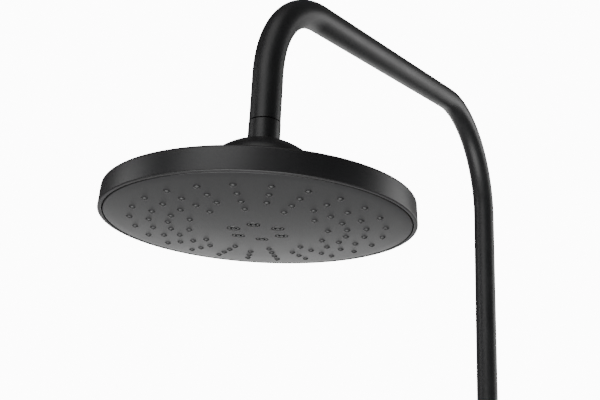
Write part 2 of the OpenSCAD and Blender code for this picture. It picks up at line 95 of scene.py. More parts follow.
def lathe(bm, profile, steps=96, closed=True, matrix=None):
    # spins an outline of (radius, height) in millimetres about the local Z axis
    ring = [bm.verts.new((r * mm, 0, z * mm)) for r, z in profile]
    edges = [bm.edges.new(pair) for pair in zip(ring, ring[1:])]
    if closed:
        edges.append(bm.edges.new((ring[-1], ring[0])))
    before = set(bm.verts) - set(ring)
    bmesh.ops.spin(bm, geom=ring + edges, cent=(0, 0, 0), axis=(0, 0, 1), dvec=(0, 0, 0),
                   angle=2 * pi, steps=steps, use_merge=True, use_normal_flip=False,
                   use_duplicate=False)
    fresh = [v for v in bm.verts if v not in before]
    bmesh.ops.remove_doubles(bm, verts=fresh, dist=1e-7)
    fresh = [v for v in bm.verts if v not in before]
    if matrix is not None:
        bmesh.ops.transform(bm, matrix=matrix, verts=fresh)
    return fresh


def flutedBar(bm, radius, height, depth, count, chamfer, matrix, plain=0.0):
    # a turned bar with shallow grips cut round it; plain is the smooth band at each end
    perGrip = 10
    rings = [(0, chamfer, 0), (chamfer, 0, 0)]
    if plain:
        rings += [(plain, 0, 0), (plain + depth, 0, 1), (height - plain - depth, 0, 1),
                  (height - plain, 0, 0)]
    else:
        rings += [(chamfer + depth, 0, 1), (height - chamfer - depth, 0, 1)]
    rings += [(height - chamfer, 0, 0), (height, chamfer, 0)]
    before = set(bm.verts)
    made = bmesh.ops.create_circle(bm, cap_ends=True, segments=perGrip * count, radius=radius * mm)
    base = made["verts"]

    def shape(verts, inward, grip):
        for v in verts:
            a = v.co.xy.angle_signed(Vector((1, 0)))
            dip = max(0.0, cos(a * count)) ** 1.5 * depth * grip
            r = radius - inward - dip
            v.co.xy = v.co.xy.normalized() * r * mm

    for v in base:
        v.co.z = rings[0][0] * mm
    shape(base, rings[0][1], rings[0][2])
    face = base[0].link_faces[0]
    for i, (z, inward, grip) in enumerate(rings[1:]):
        out = bmesh.ops.extrude_face_region(bm, geom=[face])
        if i:
            bmesh.ops.delete(bm, geom=[face], context="FACES_ONLY")
        face = [g for g in out["geom"] if isinstance(g, bmesh.types.BMFace)][0]
        for v in face.verts:
            v.co.z = z * mm
        shape(face.verts, inward, grip)
    fresh = [v for v in bm.verts if v not in before]
    bmesh.ops.transform(bm, matrix=matrix, verts=fresh)
    return fresh


def markSharp(bm, angle):
    for f in bm.faces:
        f.smooth = True
    for e in bm.edges:
        e.smooth = not (len(e.link_faces) == 2 and e.calc_face_angle(0) > radians(angle))


def meshObject(bm, name):
    bmesh.ops.remove_doubles(bm, verts=bm.verts, dist=1e-7)
    bm.verts.index_update()
    bmesh.ops.recalc_face_normals(bm, faces=bm.faces)
    # the operators leave faces and corners in an order that varies from run to run, and a boolean's
    # result depends on it, so they are put in a fixed order: by the places of their corners
    places = sorted((tuple(v.co), v.index) for v in bm.verts)
    order = {index: i for i, (_, index) in enumerate(places)}
    faces = []
    for f in bm.faces:
        corners = [order[v.index] for v in f.verts]
        first = corners.index(min(corners))
        faces.append(corners[first:] + corners[:first])
    mesh = bpy.data.meshes.new(name)
    mesh.from_pydata([place for place, _ in places], [], sorted(faces))
    bm.free()
    piece = bpy.data.objects.new(name, mesh)
    scene.collection.objects.link(piece)
    return piece


def combine(piece, bm, operation):
    # one boolean step between a piece and a helper shape, applied at once
    helper = meshObject(bm, "helper")
    step = piece.modifiers.new("combine", "BOOLEAN")
    step.operation, step.object, step.solver = operation, helper, "EXACT"
    graph = bpy.context.evaluated_depsgraph_get()
    made = bpy.data.meshes.new_from_object(piece.evaluated_get(graph))
    piece.modifiers.clear()
    old, piece.data = piece.data, made
    bpy.data.meshes.remove(old)
    bpy.data.objects.remove(helper)


def finishPiece(piece, body, nodes, material, sharp=32):
    bm = bmesh.new()
    bm.from_mesh(piece.data)
    markSharp(bm, sharp)
    bm.to_mesh(piece.data)
    bm.free()
    piece.data.materials.clear()
    piece.data.materials.append(material)
    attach(piece, body)
    if nodes:
        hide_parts(*nodes)
    return piece


# ---- finishes ----
def startMaterial(name):
    mat = bpy.data.materials.new(name)
    mat.use_nodes = True
    nodes, links = mat.node_tree.nodes, mat.node_tree.links
    shader = next(n for n in nodes if n.type == "BSDF_PRINCIPLED")
    coord = nodes.new("ShaderNodeTexCoord")
    return mat, nodes, links, shader, coord


def noise(nodes, links, coord, scale, detail=3.0, rough=0.55):
    tex = nodes.new("ShaderNodeTexNoise")
    tex.inputs["Scale"].default_value = scale
    tex.inputs["Detail"].default_value = detail
    tex.inputs["Roughness"].default_value = rough
    links.new(coord.outputs["Object"], tex.inputs["Vector"])
    return tex


def spread(nodes, links, source, low, high):
    fit = nodes.new("ShaderNodeMapRange")
    fit.inputs["From Min"].default_value = 0.3
    fit.inputs["From Max"].default_value = 0.7
    fit.inputs["To Min"].default_value = low
    fit.inputs["To Max"].default_value = high
    links.new(source, fit.inputs["Value"])
    return fit


def blendColours(nodes, links, source, first, second):
    ramp = nodes.new("ShaderNodeValToRGB")
    ramp.color_ramp.elements[0].position = 0.35
    ramp.color_ramp.elements[1].position = 0.65
    ramp.color_ramp.elements[0].color = (*first, 1)
    ramp.color_ramp.elements[1].color = (*second, 1)
    links.new(source, ramp.inputs["Fac"])
    return ramp


def coatedMaterial(name, values):
    # a sprayed or moulded skin: faint clouding of colour and gloss, and a fine grain
    mat, nodes, links, shader, coord = startMaterial(name)
    cloud = noise(nodes, links, coord, values["cloudScale"], 4.0)
    grain = noise(nodes, links, coord, values["grainScale"], 2.0, 0.6)
    colour = blendColours(nodes, links, cloud.outputs["Fac"], values["dark"], values["light"])
    links.new(colour.outputs["Color"], shader.inputs["Base Color"])
    gloss = spread(nodes, links, cloud.outputs["Fac"], values["roughLow"], values["roughHigh"])
    links.new(gloss.outputs["Result"], shader.inputs["Roughness"])
    bump = nodes.new("ShaderNodeBump")
    bump.inputs["Strength"].default_value = values["grainStrength"]
    bump.inputs["Distance"].default_value = values["grainDepth"] * mm
    links.new(grain.outputs["Fac"], bump.inputs["Height"])
    links.new(bump.outputs["Normal"], shader.inputs["Normal"])
    shader.inputs["IOR"].default_value = values.get("ior", 1.5)
    shader.inputs["Coat Weight"].default_value = values.get("coat", 0.0)
    shader.inputs["Coat Roughness"].default_value = values.get("coatRough", 0.3)
    return mat


def turnedMaterial(name, values):
    # metal with fine tool lines
    mat, nodes, links, shader, coord = startMaterial(name)
    lines = nodes.new("ShaderNodeTexWave")
    lines.wave_type = "BANDS"
    lines.bands_direction = values["lines"]
    lines.inputs["Scale"].default_value = values["lineScale"]
    lines.inputs["Distortion"].default_value = 1.5
    lines.inputs["Detail"].default_value = 2.0
    links.new(coord.outputs["Object"], lines.inputs["Vector"])
    cloud = noise(nodes, links, coord, 60.0, 4.0)
    colour = blendColours(nodes, links, cloud.outputs["Fac"], values["dark"], values["light"])
    links.new(colour.outputs["Color"], shader.inputs["Base Color"])
    gloss = spread(nodes, links, lines.outputs["Fac"], values["roughLow"], values["roughHigh"])
    links.new(gloss.outputs["Result"], shader.inputs["Roughness"])
    bump = nodes.new("ShaderNodeBump")
    bump.inputs["Strength"].default_value = 0.25
    bump.inputs["Distance"].default_value = 0.02 * mm
    links.new(lines.outputs["Fac"], bump.inputs["Height"])
    links.new(bump.outputs["Normal"], shader.inputs["Normal"])
    shader.inputs["Metallic"].default_value = 1.0
    return mat


coatValues = dict(dark=(0.012, 0.012, 0.013), light=(0.017, 0.017, 0.018), roughLow=0.40,
                  roughHigh=0.46, cloudScale=30.0, grainScale=1400.0, grainStrength=0.20,
                  grainDepth=0.05)
shellValues = dict(coatValues, roughLow=0.38, roughHigh=0.43, cloudScale=22.0, grainStrength=0.12)
faceValues = dict(coatValues, dark=(0.016, 0.016, 0.017), light=(0.021, 0.021, 0.022),
                  roughLow=0.36, roughHigh=0.41, cloudScale=25.0, grainStrength=0.10, ior=1.5)
siliconeValues = dict(coatValues, dark=(0.022, 0.022, 0.023), light=(0.028, 0.028, 0.029),
                      roughLow=0.36, roughHigh=0.42, cloudScale=200.0, grainScale=2500.0)
jetValues = dict(coatValues, roughLow=0.22, roughHigh=0.28, grainStrength=0.05)
rubberValues = dict(coatValues, dark=(0.012, 0.012, 0.012), light=(0.02, 0.02, 0.02),
                    roughLow=0.6, roughHigh=0.7, cloudScale=150.0)
whiteValues = dict(coatValues, dark=(0.62, 0.62, 0.59), light=(0.70, 0.70, 0.67), roughLow=0.35,
                   roughHigh=0.45, cloudScale=90.0, grainStrength=0.08)
brassValues = dict(dark=(0.50, 0.36, 0.14), light=(0.62, 0.46, 0.20), roughLow=0.20,
                   roughHigh=0.32, lines="Z", lineScale=900.0)
steelValues = dict(dark=(0.45, 0.46, 0.47), light=(0.56, 0.57, 0.58), roughLow=0.26,
                   roughHigh=0.40, lines="X", lineScale=700.0)

powderBlack = coatedMaterial("powderBlack", coatValues)
shellBlack = coatedMaterial("shellBlack", shellValues)
faceBlack = coatedMaterial("faceBlack", faceValues)
siliconeBlack = coatedMaterial("siliconeBlack", siliconeValues)
jetBlack = coatedMaterial("jetBlack", jetValues)
sealRubber = coatedMaterial("sealRubber", rubberValues)
whitePlastic = coatedMaterial("whitePlastic", whiteValues)
turnedBrass = turnedMaterial("turnedBrass", brassValues)
brushedSteel = turnedMaterial("brushedSteel", steelValues)
print("finishes made")

# ---- head ----
head = dict(rimWidth=2.6, wallDeep=8.0, bottomRound=0.8, crownRound=2.0, taper=0.7, steps=192,
            gap=0.8, sag=4.9, faceEdgeRound=0.5, faceDeep=7.0, faceRings=14, spigot=12.0,
            crownThick=2.2, faceThick=1.8, faceRimThick=1.6)
headH = size("head_shell").z
rimR = headR - head["rimWidth"]
faceR = rimR - head["gap"]
faceBallR = (faceR ** 2 + head["sag"] ** 2) / (2 * head["sag"])
onHead = place(headAt)


def faceZ(r):
    return -head["sag"] + faceBallR - sqrt(faceBallR ** 2 - r ** 2)


def makeShell():
    b, c, w = head["bottomRound"], head["crownRound"], head["wallDeep"]
    outline = [(rimR, w), (rimR, 0.35), (rimR + 0.35, 0)]
    outline += arc(headR - b, b, b, -90, 0, 6)
    outline += arc(headR - head["taper"] - c, headH - c, c, 0, 90, 8)
    outline += [(head["spigot"] + 0.1, headH), (head["spigot"] + 0.1, headH - head["crownThick"]),
                (rimR - 1.5, headH - head["crownThick"]), (rimR, headH - 4)]
    bm = bmesh.new()
    lathe(bm, outline, head["steps"], True, onHead)
    piece = meshObject(bm, "headShell")
    return finishPiece(piece, "head", ["head_shell"], shellBlack)


dome = dict(radius=49.1, top=56.5, wall=1.7, hole=12.0, turn=50, shoulder=14.0, lipRound=0.35,
            seatSlope=((1.2, 0.0), (0.5, 0.25), (0.0, 0.8)))


def makeDome():
    r, w = dome["radius"], dome["wall"]
    z0 = dome["top"] - r
    sy = (r - dome["shoulder"]) * cos(radians(dome["turn"]))
    sz = z0 + (r - dome["shoulder"]) * sin(radians(dome["turn"]))

    def side(t):
        start = degrees(acos((dome["hole"] + dome["lipRound"] * (t == 0)) / (r - t)))
        pts = arc(0, z0, r - t, start, dome["turn"], 14)
        pts += arc(sy, sz, dome["shoulder"] - t, dome["turn"] - 5, 0, 10)
        foot = sy + dome["shoulder"] - t
        if t:
            return pts + [(foot, headH)]
        return pts + [(foot + out, headH + up) for up, out in dome["seatSlope"]]

    outer, inner = side(0), side(w)
    lip = [(dome["hole"], outer[0][1] - dome["lipRound"])]
    bm = bmesh.new()
    lathe(bm, lip + outer + inner[::-1], 128, True, onHead)
    piece = meshObject(bm, "domeCover")
    return finishPiece(piece, "head", ["dome_cover"], shellBlack)


spray = dict(firstRing=44.3, pitch=11.95, rings=4, spokes=24, turn=-7.0, radius=2.2, out=1.1,
             hole=0.35, holeDeep=1.0, buried=1.2, steps=20, ball=2.8, waist=1.95,
             jetRing=16.15, jets=6, jetRadius=3.6, jetGap=0.6)


def nozzlePlaces():
    for s in range(spray["spokes"]):
        for k in range(s % 2, spray["rings"]):
            r = spray["firstRing"] + k * spray["pitch"]
            yield r, radians(spray["turn"] + s * 360 / spray["spokes"])


def jetPlaces():
    for s in range(spray["jets"]):
        yield spray["jetRing"], radians(spray["turn"] + s * 360 / spray["jets"])


def makeFace():
    e = head["faceEdgeRound"]
    rings = head["faceRings"]
    outline = [(faceR * i / rings, faceZ(faceR * i / rings)) for i in range(rings)]
    outline += arc(faceR - e, faceZ(faceR - e) + e, e, -85, 0, 4)
    top, thick, inner = head["faceDeep"], head["faceThick"], faceR - head["faceRimThick"]
    outline += [(faceR, top), (inner, top), (inner, faceZ(faceR) + thick)]
    outline += [(faceR * i / rings, faceZ(faceR * i / rings) + thick)
                for i in range(rings - 2, -1, -1)]
    bm = bmesh.new()
    lathe(bm, outline, head["steps"], False, onHead)
    piece = meshObject(bm, "facePlate")
    cut = bmesh.new()
    for r, a in jetPlaces():
        at = headAt + Vector((r * cos(a), r * sin(a), 0)) * mm
        z, hole = faceZ(r), spray["jetRadius"] + spray["jetGap"]
        lathe(cut, [(0, z - 3), (hole, z - 3), (hole, z + 4), (0, z + 4)], 40, False, place(at))
    combine(piece, cut, "DIFFERENCE")
    return finishPiece(piece, "head", ["face_plate"], faceBlack)


def makeNozzles():
    r, out = spray["radius"], spray["out"]
    tip = spray["ball"]
    capAngle = degrees(asin(spray["waist"] / tip)) - 90
    outline = [(0, -out + spray["holeDeep"]), (spray["hole"], -out + spray["holeDeep"]),
               (spray["hole"], -out + 0.12), (spray["hole"] + 0.12, -out + 0.02)]
    outline += arc(0, tip - out, tip, -80, capAngle, 5)
    outline += [(r - 0.08, -0.14), (r, -0.02), (r, spray["buried"]),
                (0, spray["buried"])]
    bm = bmesh.new()
    for ringR, a in nozzlePlaces():
        at = headAt + Vector((ringR * cos(a), ringR * sin(a), faceZ(ringR))) * mm
        lathe(bm, outline, spray["steps"], False, place(at))
    # the mat that joins them, behind the face plate
    matR = faceR - 1.9
    rings = 10
    low = [(matR * i / rings, faceZ(matR * i / rings) + 1.85) for i in range(rings + 1)]
    high = [(x, z + 1.1) for x, z in low[::-1]]
    lathe(bm, low + high, 96, False, onHead)
    piece = meshObject(bm, "nozzleMat")
    return finishPiece(piece, "head", ["nozzle_mat"], siliconeBlack)


jet = dict(bevel=0.3, innerRing=2.35, recess=1.6, pin=1.15, pinOut=0.15, bore=0.4, deep=9.0)


def makeJets():
    r, b = spray["jetRadius"], jet["bevel"]
    outline = [(0, 0.3), (jet["bore"], 0.3), (jet["bore"], -jet["pinOut"] + 0.1),
               (jet["bore"] + 0.1, -jet["pinOut"]), (jet["pin"] - 0.15, -jet["pinOut"]),
               (jet["pin"], -jet["pinOut"] + 0.15), (jet["pin"], jet["recess"]),
               (jet["innerRing"], jet["recess"]), (jet["innerRing"], 0.15),
               (jet["innerRing"] + 0.15, 0), (r - b, 0), (r, b), (r, jet["deep"]), (0, jet["deep"])]
    bm = bmesh.new()
    for ringR, a in jetPlaces():
        at = headAt + Vector((ringR * cos(a), ringR * sin(a), faceZ(ringR))) * mm
        lathe(bm, outline, 40, False, place(at))
    piece = meshObject(bm, "centreJets")
    return finishPiece(piece, "head", ["jet_inserts"], jetBlack)


makeShell()
makeDome()
makeFace()
makeNozzles()
makeJets()
print("head made")

# ---- arm ----
arm = dict(dropBend=104.5, headBendR=76.5, riserBendR=95.5, fall=9.9, wall=1.2, chamfer=0.3,
           sides=96, bendSteps=64)
armLow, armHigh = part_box("arm_tube")
tubeR = (armHigh[0] - armLow[0]) / 2 / mm
sleeveTop = (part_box("swivel_sleeve")[1][2] - headAt.z) / mm
dropStart = sleeveTop + 0.4


def sweepTube(bm, radius, inset):
    # one loop of edges, drawn along the drop, the bend, the arm, the bend and the riser
    turn = radians(90 - arm["fall"])
    reach = (riserAt.y - headAt.y) / mm
    bendY = arm["headBendR"] * (1 - cos(turn))
    bendZ = arm["dropBend"] + arm["headBendR"] * sin(turn)
    length = (reach - bendY - arm["riserBendR"] * (1 + cos(turn))) / sin(turn)
    riserZ = bendZ + length * cos(turn) - arm["riserBendR"] * sin(turn)
    bottom = (armLow[2] - headAt.z) / mm
    made = bmesh.ops.create_circle(bm, cap_ends=False, segments=arm["sides"], radius=radius * mm)
    start = made["verts"]
    bmesh.ops.translate(bm, verts=start, vec=headAt + Vector((0, 0, dropStart + inset)) * mm)
    loop = {e for v in start for e in v.link_edges}

    def straight(edges, vec):
        out = bmesh.ops.extrude_edge_only(bm, edges=list(edges))
        verts = [g for g in out["geom"] if isinstance(g, bmesh.types.BMVert)]
        bmesh.ops.translate(bm, verts=verts, vec=Vector(vec) * mm)
        return {g for g in out["geom"] if isinstance(g, bmesh.types.BMEdge)
                and all(v in verts for v in g.verts)}

    def bend(edges, centre, angle):
        verts = list({v for e in edges for v in e.verts})
        out = bmesh.ops.spin(bm, geom=verts + list(edges), cent=headAt + Vector(centre) * mm,
                             axis=(1, 0, 0), dvec=(0, 0, 0), angle=angle, steps=arm["bendSteps"],
                             use_merge=False, use_normal_flip=False, use_duplicate=False)
        return {g for g in out["geom_last"] if isinstance(g, bmesh.types.BMEdge)}

    run = length * mm
    ring = straight(loop, (0, 0, arm["dropBend"] - dropStart - inset))
    ring = bend(ring, (0, arm["headBendR"], arm["dropBend"]), -turn)
    ring = straight(ring, (0, run / mm * sin(turn), run / mm * cos(turn)))
    ring = bend(ring, (0, reach - arm["riserBendR"], riserZ), -(pi - turn))
    ring = straight(ring, (0, 0, bottom - riserZ + inset))
    return loop, ring


def makeArm():
    bm = bmesh.new()
    c = arm["chamfer"]
    outerStart, outerEnd = sweepTube(bm, tubeR, c)
    sweepTube(bm, tubeR - arm["wall"], 0)

    def closeEnd(outer):
        # a chamfer, then a flat rim in to the bore; its last ring lies on the bore's first
        for k, drop in (((tubeR - c) / tubeR, c), ((tubeR - arm["wall"]) / (tubeR - c), 0)):
            out = bmesh.ops.extrude_edge_only(bm, edges=list(outer))
            verts = [g for g in out["geom"] if isinstance(g, bmesh.types.BMVert)]
            outer = [g for g in out["geom"] if isinstance(g, bmesh.types.BMEdge)
                     and all(v in verts for v in g.verts)]
            centre = sum((v.co for v in verts), Vector()) / len(verts)
            for v in verts:
                v.co = Vector((centre.x + (v.co.x - centre.x) * k,
                               centre.y + (v.co.y - centre.y) * k, centre.z - drop * mm))

    closeEnd(outerStart)
    closeEnd(outerEnd)
    bmesh.ops.remove_doubles(bm, verts=bm.verts, dist=3e-6)
    piece = meshObject(bm, "armTube")
    return finishPiece(piece, "arm", ["arm_tube"], powderBlack)


sleeve = dict(floor=57.5, bore=8.4, neck=5.45, edge=0.3)


def makeSleeve():
    low = (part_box("swivel_sleeve")[0][2] - headAt.z) / mm
    r, e = size("swivel_sleeve").x / 2, sleeve["edge"]
    outline = [(sleeve["neck"], low), (r - 0.8, low), (r, low + 0.8), (r, sleeveTop - e),
               (r - e, sleeveTop), (sleeve["bore"], sleeveTop), (sleeve["bore"], sleeve["floor"]),
               (sleeve["neck"], sleeve["floor"])]
    bm = bmesh.new()
    lathe(bm, outline, 96, True, onHead)
    piece = meshObject(bm, "swivelSleeve")
    return finishPiece(piece, "arm", ["swivel_sleeve"], powderBlack)


makeArm()
makeSleeve()
print("arm made")

# ---- riser, collar and bracket ----
riser = dict(wall=1.2, edge=0.3, collarFlute=0.7, collarGrips=16, collarPlain=4.0)
riserR = size("riser_lower").x / 2


def ringOutline(low, high, outer, inner, edge):
    return [(inner, low), (outer - edge, low), (outer, low + edge), (outer, high - edge),
            (outer - edge, high), (inner, high)]


def makeRiser():
    low, high = (v[2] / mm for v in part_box("riser_lower"))
    bm = bmesh.new()
    lathe(bm, ringOutline(low, high, riserR, riserR - riser["wall"], riser["edge"]), 96, True,
          place(riserAt))
    piece = meshObject(bm, "lowerRiser")
    return finishPiece(piece, "column", ["riser_lower"], powderBlack)


def boreThrough(piece, at, towards, radius, low, high, steps=96):
    cut = bmesh.new()
    lathe(cut, [(0, low), (radius, low), (radius, high), (0, high)], steps, False, place(at, towards))
    combine(piece, cut, "DIFFERENCE")


def gripRing(name, node, flute, count, plain, bores, body):
    low, high = (v[2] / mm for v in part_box(node))
    r = size(node).x / 2
    bm = bmesh.new()
    flutedBar(bm, r, high - low, flute, count, 1.2, place(riserAt + Vector((0, 0, low * mm))), plain)
    piece = meshObject(bm, name)
    for radius, start, end in bores:
        boreThrough(piece, riserAt + Vector((0, 0, low * mm)), "up", radius, start, end)
    return finishPiece(piece, body, [node], powderBlack, 25)


makeRiser()
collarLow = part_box("lock_collar")[0][2]
riserTop = (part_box("riser_lower")[1][2] - collarLow) / mm
collarH = size("lock_collar").z
gripRing("lockCollar", "lock_collar", riser["collarFlute"], riser["collarGrips"], riser["collarPlain"],
         [(riserR + 0.06, -1, riserTop + 8.6), (tubeR + 0.3, riserTop, collarH + 1)], "collar")
nutH = size("riser_nut").z
gripRing("riserNut", "riser_nut", riser["collarFlute"], riser["collarGrips"], 3.0,
         [(riserR + 0.04, -1, nutH + 1)], "column")
print("riser made")

rose = dict(height=9.0, wall=1.6, round=3.0)


def makeRose(name, node, hole):
    r, h = size(node).x / 2, rose["height"]
    w, c = rose["wall"], rose["round"]
    outline = [(hole, h - w), (hole, h - 0.3), (hole + 0.3, h)]
    outline += arc(r - c, h - c - 0.8, c, 78, 0, 8)
    outline += [(r, 0.3), (r - 0.3, 0), (r - w, 0), (r - w - 2, h - w - 1.5)]
    at = middle(node)
    bm = bmesh.new()
    lathe(bm, outline, 128, True, place(Vector((at.x, 0, at.z)), "room"))
    piece = meshObject(bm, name)
    return finishPiece(piece, "column", [node], powderBlack)


makeRose("bracketRose", "bracket_rose", 8.65)
makeRose("inletRose", "inlet_rose", 14.15)

bracket = dict(post=8.5, boss=6.03, bossDeep=25.5, screw=2.0, edge=0.9, postIn=4)


def makeBracket():
    low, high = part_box("bracket_ring")
    z, half = (low[2] + high[2]) / 2, (high[2] - low[2]) / 2 / mm
    r = (high[0] - low[0]) / 2 / mm
    at = riserAt + Vector((0, 0, z))
    bm = bmesh.new()
    outline = ringOutline(-half, half, r, 0, bracket["edge"])[1:-1]
    lathe(bm, [(0, -half)] + outline + [(0, half)], 96, False, place(at))
    piece = meshObject(bm, "bracketRing")
    post = bmesh.new()
    wallEnd = -high[1] / mm
    roomEnd = -riserAt.y / mm - bracket["postIn"]
    lathe(post, [(0, wallEnd), (bracket["post"], wallEnd), (bracket["post"], roomEnd), (0, roomEnd)],
          64, False, place(Vector((riserAt.x, 0, z)), "room"))
    combine(piece, post, "UNION")
    boreThrough(piece, at, "up", riserR + 0.04, -half - 1, half + 1)
    wallAt = Vector((riserAt.x, 0, z))
    boreThrough(piece, wallAt, "room", bracket["boss"], -1, bracket["bossDeep"], 64)
    boreThrough(piece, wallAt, "room", bracket["screw"], -riserAt.y / mm + riserR - 1,
                -riserAt.y / mm + r + 3, 32)
    return finishPiece(piece, "column", ["bracket_ring"], powderBlack, 25)


makeBracket()
print("bracket made")

# ---- diverter ----
diverter = dict(tail=9.6, body=18.0, half=36.0, branch=14.0, branchEnd=7.0, bonnet=14.5, bonnetOut=26.0,
                edge=0.8, knobFlute=0.9, knobGrips=24, knobChamfer=1.4, knobPlain=2.6,
                markLength=7.0, markWidth=1.4, markDeep=0.35,
                markOut=0.93, markUp=3.4, capRim=1.1, capFace=0.9)


def makeDiverter():
    at, off = Vector(riserAt), -riserAt.y / mm
    e, half, r = diverter["edge"], diverter["half"], diverter["body"]
    bm = bmesh.new()
    lathe(bm, [(0, -half), (r - e, -half), (r, -half + e), (r, half - e), (r - e, half), (0, half)],
          96, False, place(at))
    piece = meshObject(bm, "diverterBody")
    for radius, start, end in ((diverter["branch"], diverter["branchEnd"], off),
                               (diverter["bonnet"], off, off + diverter["bonnetOut"])):
        branch = bmesh.new()
        lathe(branch, [(0, start), (radius, start), (radius, end), (0, end)], 80, False,
              place(Vector((at.x, 0, 0)), "room"))
        combine(piece, branch, "UNION")
    boreThrough(piece, at, "up", riserR + 0.04, half - 20, half + 1)
    boreThrough(piece, at, "up", 7.0, -half - 1, half)
    boreThrough(piece, at, "up", 10.25, -half - 1, -half + 10)
    wallAt = Vector((at.x, 0, 0))
    boreThrough(piece, wallAt, "room", diverter["tail"] + 0.03, 6, diverter["branchEnd"] + 12, 64)
    bonnetEnd = off + diverter["bonnetOut"]
    boreThrough(piece, wallAt, "room", 11.05, bonnetEnd - 18, bonnetEnd + 1, 64)
    return finishPiece(piece, "column", ["diverter_body"], powderBlack, 25)


def makeKnob():
    low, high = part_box("diverter_knob")
    r, length = (high[0] - low[0]) / 2 / mm, (high[1] - low[1]) / mm
    back = Vector((riserAt.x, high[1], middle("diverter_knob").z))
    bm = bmesh.new()
    flutedBar(bm, r, length, diverter["knobFlute"], diverter["knobGrips"],
              diverter["knobChamfer"], place(back, "room"), diverter["knobPlain"])
    piece = meshObject(bm, "diverterKnob")
    boreThrough(piece, back, "room", 3.05, -1, 12, 48)
    boreThrough(piece, back, "room", 11.0, length - 1.2, length + 1, 96)
    boreThrough(piece, back + Vector((0, -8 * mm, 0)), "down", 2.0, 3, r + 1, 32)
    finishPiece(piece, "diverter", ["diverter_knob"], powderBlack, 25)
    # cap with a plain raised bar that shows which way the knob points
    cap = bmesh.new()
    capR = size("knob_cap").x / 2
    front = Vector((riserAt.x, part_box("knob_cap")[1][1], back.z))
    lathe(cap, [(0, 0), (capR, 0), (capR, 0.85), (capR - 0.25, diverter["capRim"]),
                (capR - 1.6, diverter["capRim"]), (capR - 1.9, diverter["capFace"]),
                (0, diverter["capFace"])], 80, False, place(front, "room"))
    bar = bmesh.ops.create_cube(cap, size=1.0)["verts"]
    bmesh.ops.scale(cap, verts=bar, vec=Vector((diverter["markWidth"], diverter["markDeep"],
                                             diverter["markLength"])) * mm)
    markAt = Vector((0, -diverter["markOut"], diverter["markUp"])) * mm
    bmesh.ops.translate(cap, verts=bar, vec=front + markAt)
    capPiece = meshObject(cap, "knobCap")
    finishPiece(capPiece, "diverter", ["knob_cap"], powderBlack)
    return piece


thread = dict(pitch=1.81, deep=0.9)


def threadOutline(root, length, bore):
    # a G1/2 male end: ridges from the root out to the crest
    outline = [(bore, 0), (root - thread["deep"], 0)]
    z = thread["pitch"] * 0.5
    while z + thread["pitch"] < length:
        outline += [(root, z), (root - thread["deep"], z + thread["pitch"] / 2)]
        z += thread["pitch"]
    return outline + [(root - thread["deep"], length - 0.2), (root - thread["deep"] - 0.6, length),
                      (bore, length)]


def makeTail():
    # the threaded end stands 1 mm proud of the wall side; a slimmer neck goes into the branch
    low, high = (v[1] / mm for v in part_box("inlet_tail"))
    r = size("inlet_tail").x / 2
    outline = [(7.0, low), (diverter["tail"], low), (diverter["tail"], -1), (r, -1), (r, 0)]
    outline += threadOutline(r, high, 7.0)[1:]
    bm = bmesh.new()
    lathe(bm, outline, 80, True, place(Vector((riserAt.x, 0, 0)), "wall"))
    piece = meshObject(bm, "inletTail")
    return finishPiece(piece, "column", ["inlet_tail"], turnedBrass)


def makeOutlet():
    half = diverter["half"]
    outline = [(6.5, 6), (7.55, 6), (7.55, -9), (10.2, -9), (10.2, 0.05), (12.6, 0.05), (13.0, 0.45),
               (13.0, 1.6), (12.6, 2.0)]
    for r, z in threadOutline(10.48, 10.0, 6.5)[1:]:
        outline.append((r, z + 2))
    bm = bmesh.new()
    lathe(bm, outline, 80, True, place(riserAt + Vector((0, 0, -half * mm)), "down"))
    piece = meshObject(bm, "hoseOutlet")
    return finishPiece(piece, "column", ["hose_outlet"], turnedBrass)


makeDiverter()
makeKnob()
makeTail()
makeOutlet()
print("diverter made")

# ---- finishes of the pieces kept from the frame ----
kept = {
    "powderBlack": ["arm_nipple"],
    "turnedBrass": ["cartridge_ring", "diverter_stem", "tube_plug", "ball_stud", "retaining_collar"],
    "brushedSteel": ["bracket_plate", "bracket_grub_screws", "knob_screw", "filter_screen",
                     "hub_screws"],
    "sealRubber": ["inlet_rose_seal", "riser_seal", "tube_o_rings", "inlet_washer", "socket_seal",
                   "face_seal"],
    "whitePlastic": ["collet", "check_valve", "cartridge", "ceramic_disc", "guide_bush",
                     "flow_regulator", "seat_lower", "seat_upper", "socket_body", "chamber_plate"],
}
for finish, nodes in kept.items():
    for node in nodes:
        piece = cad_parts[node]
        piece.data.materials.clear()
        piece.data.materials.append(bpy.data.materials[finish])
print("kept pieces finished")

# ---- floor, light, camera ----
studio = dict(floorDrop=0.95, floorSize=14.0, floorColour=(0.80, 0.80, 0.79), fill=0.06, floorGlow=2.2,
              band=1.8, bandAcross=(0.1, 0.8), bandBelow=(-0.36, 0.02), bandAbove=(0.02, 0.3),
              bandTop=0.12, backdrop=12.0,
              keyPower=16.0, keySize=1.5, keyAt=(0.05, -1.9, 0.75),
              rimPower=8.0, rimSize=1.0, rimAt=(1.3, 1.5, 0.45),
              leftPower=5.0, leftSize=0.8, leftAt=(-1.7, -0.9, 0.35),
              topPower=6.0, topSize=1.2, topAt=(0.2, -0.9, 1.7),
              belowPower=24.0, belowSize=1.3, belowAt=(0.1, -0.6, -1.2),
              underPower=5.0, underSize=2.2, underAt=(-1.4, 1.4, -1.0))


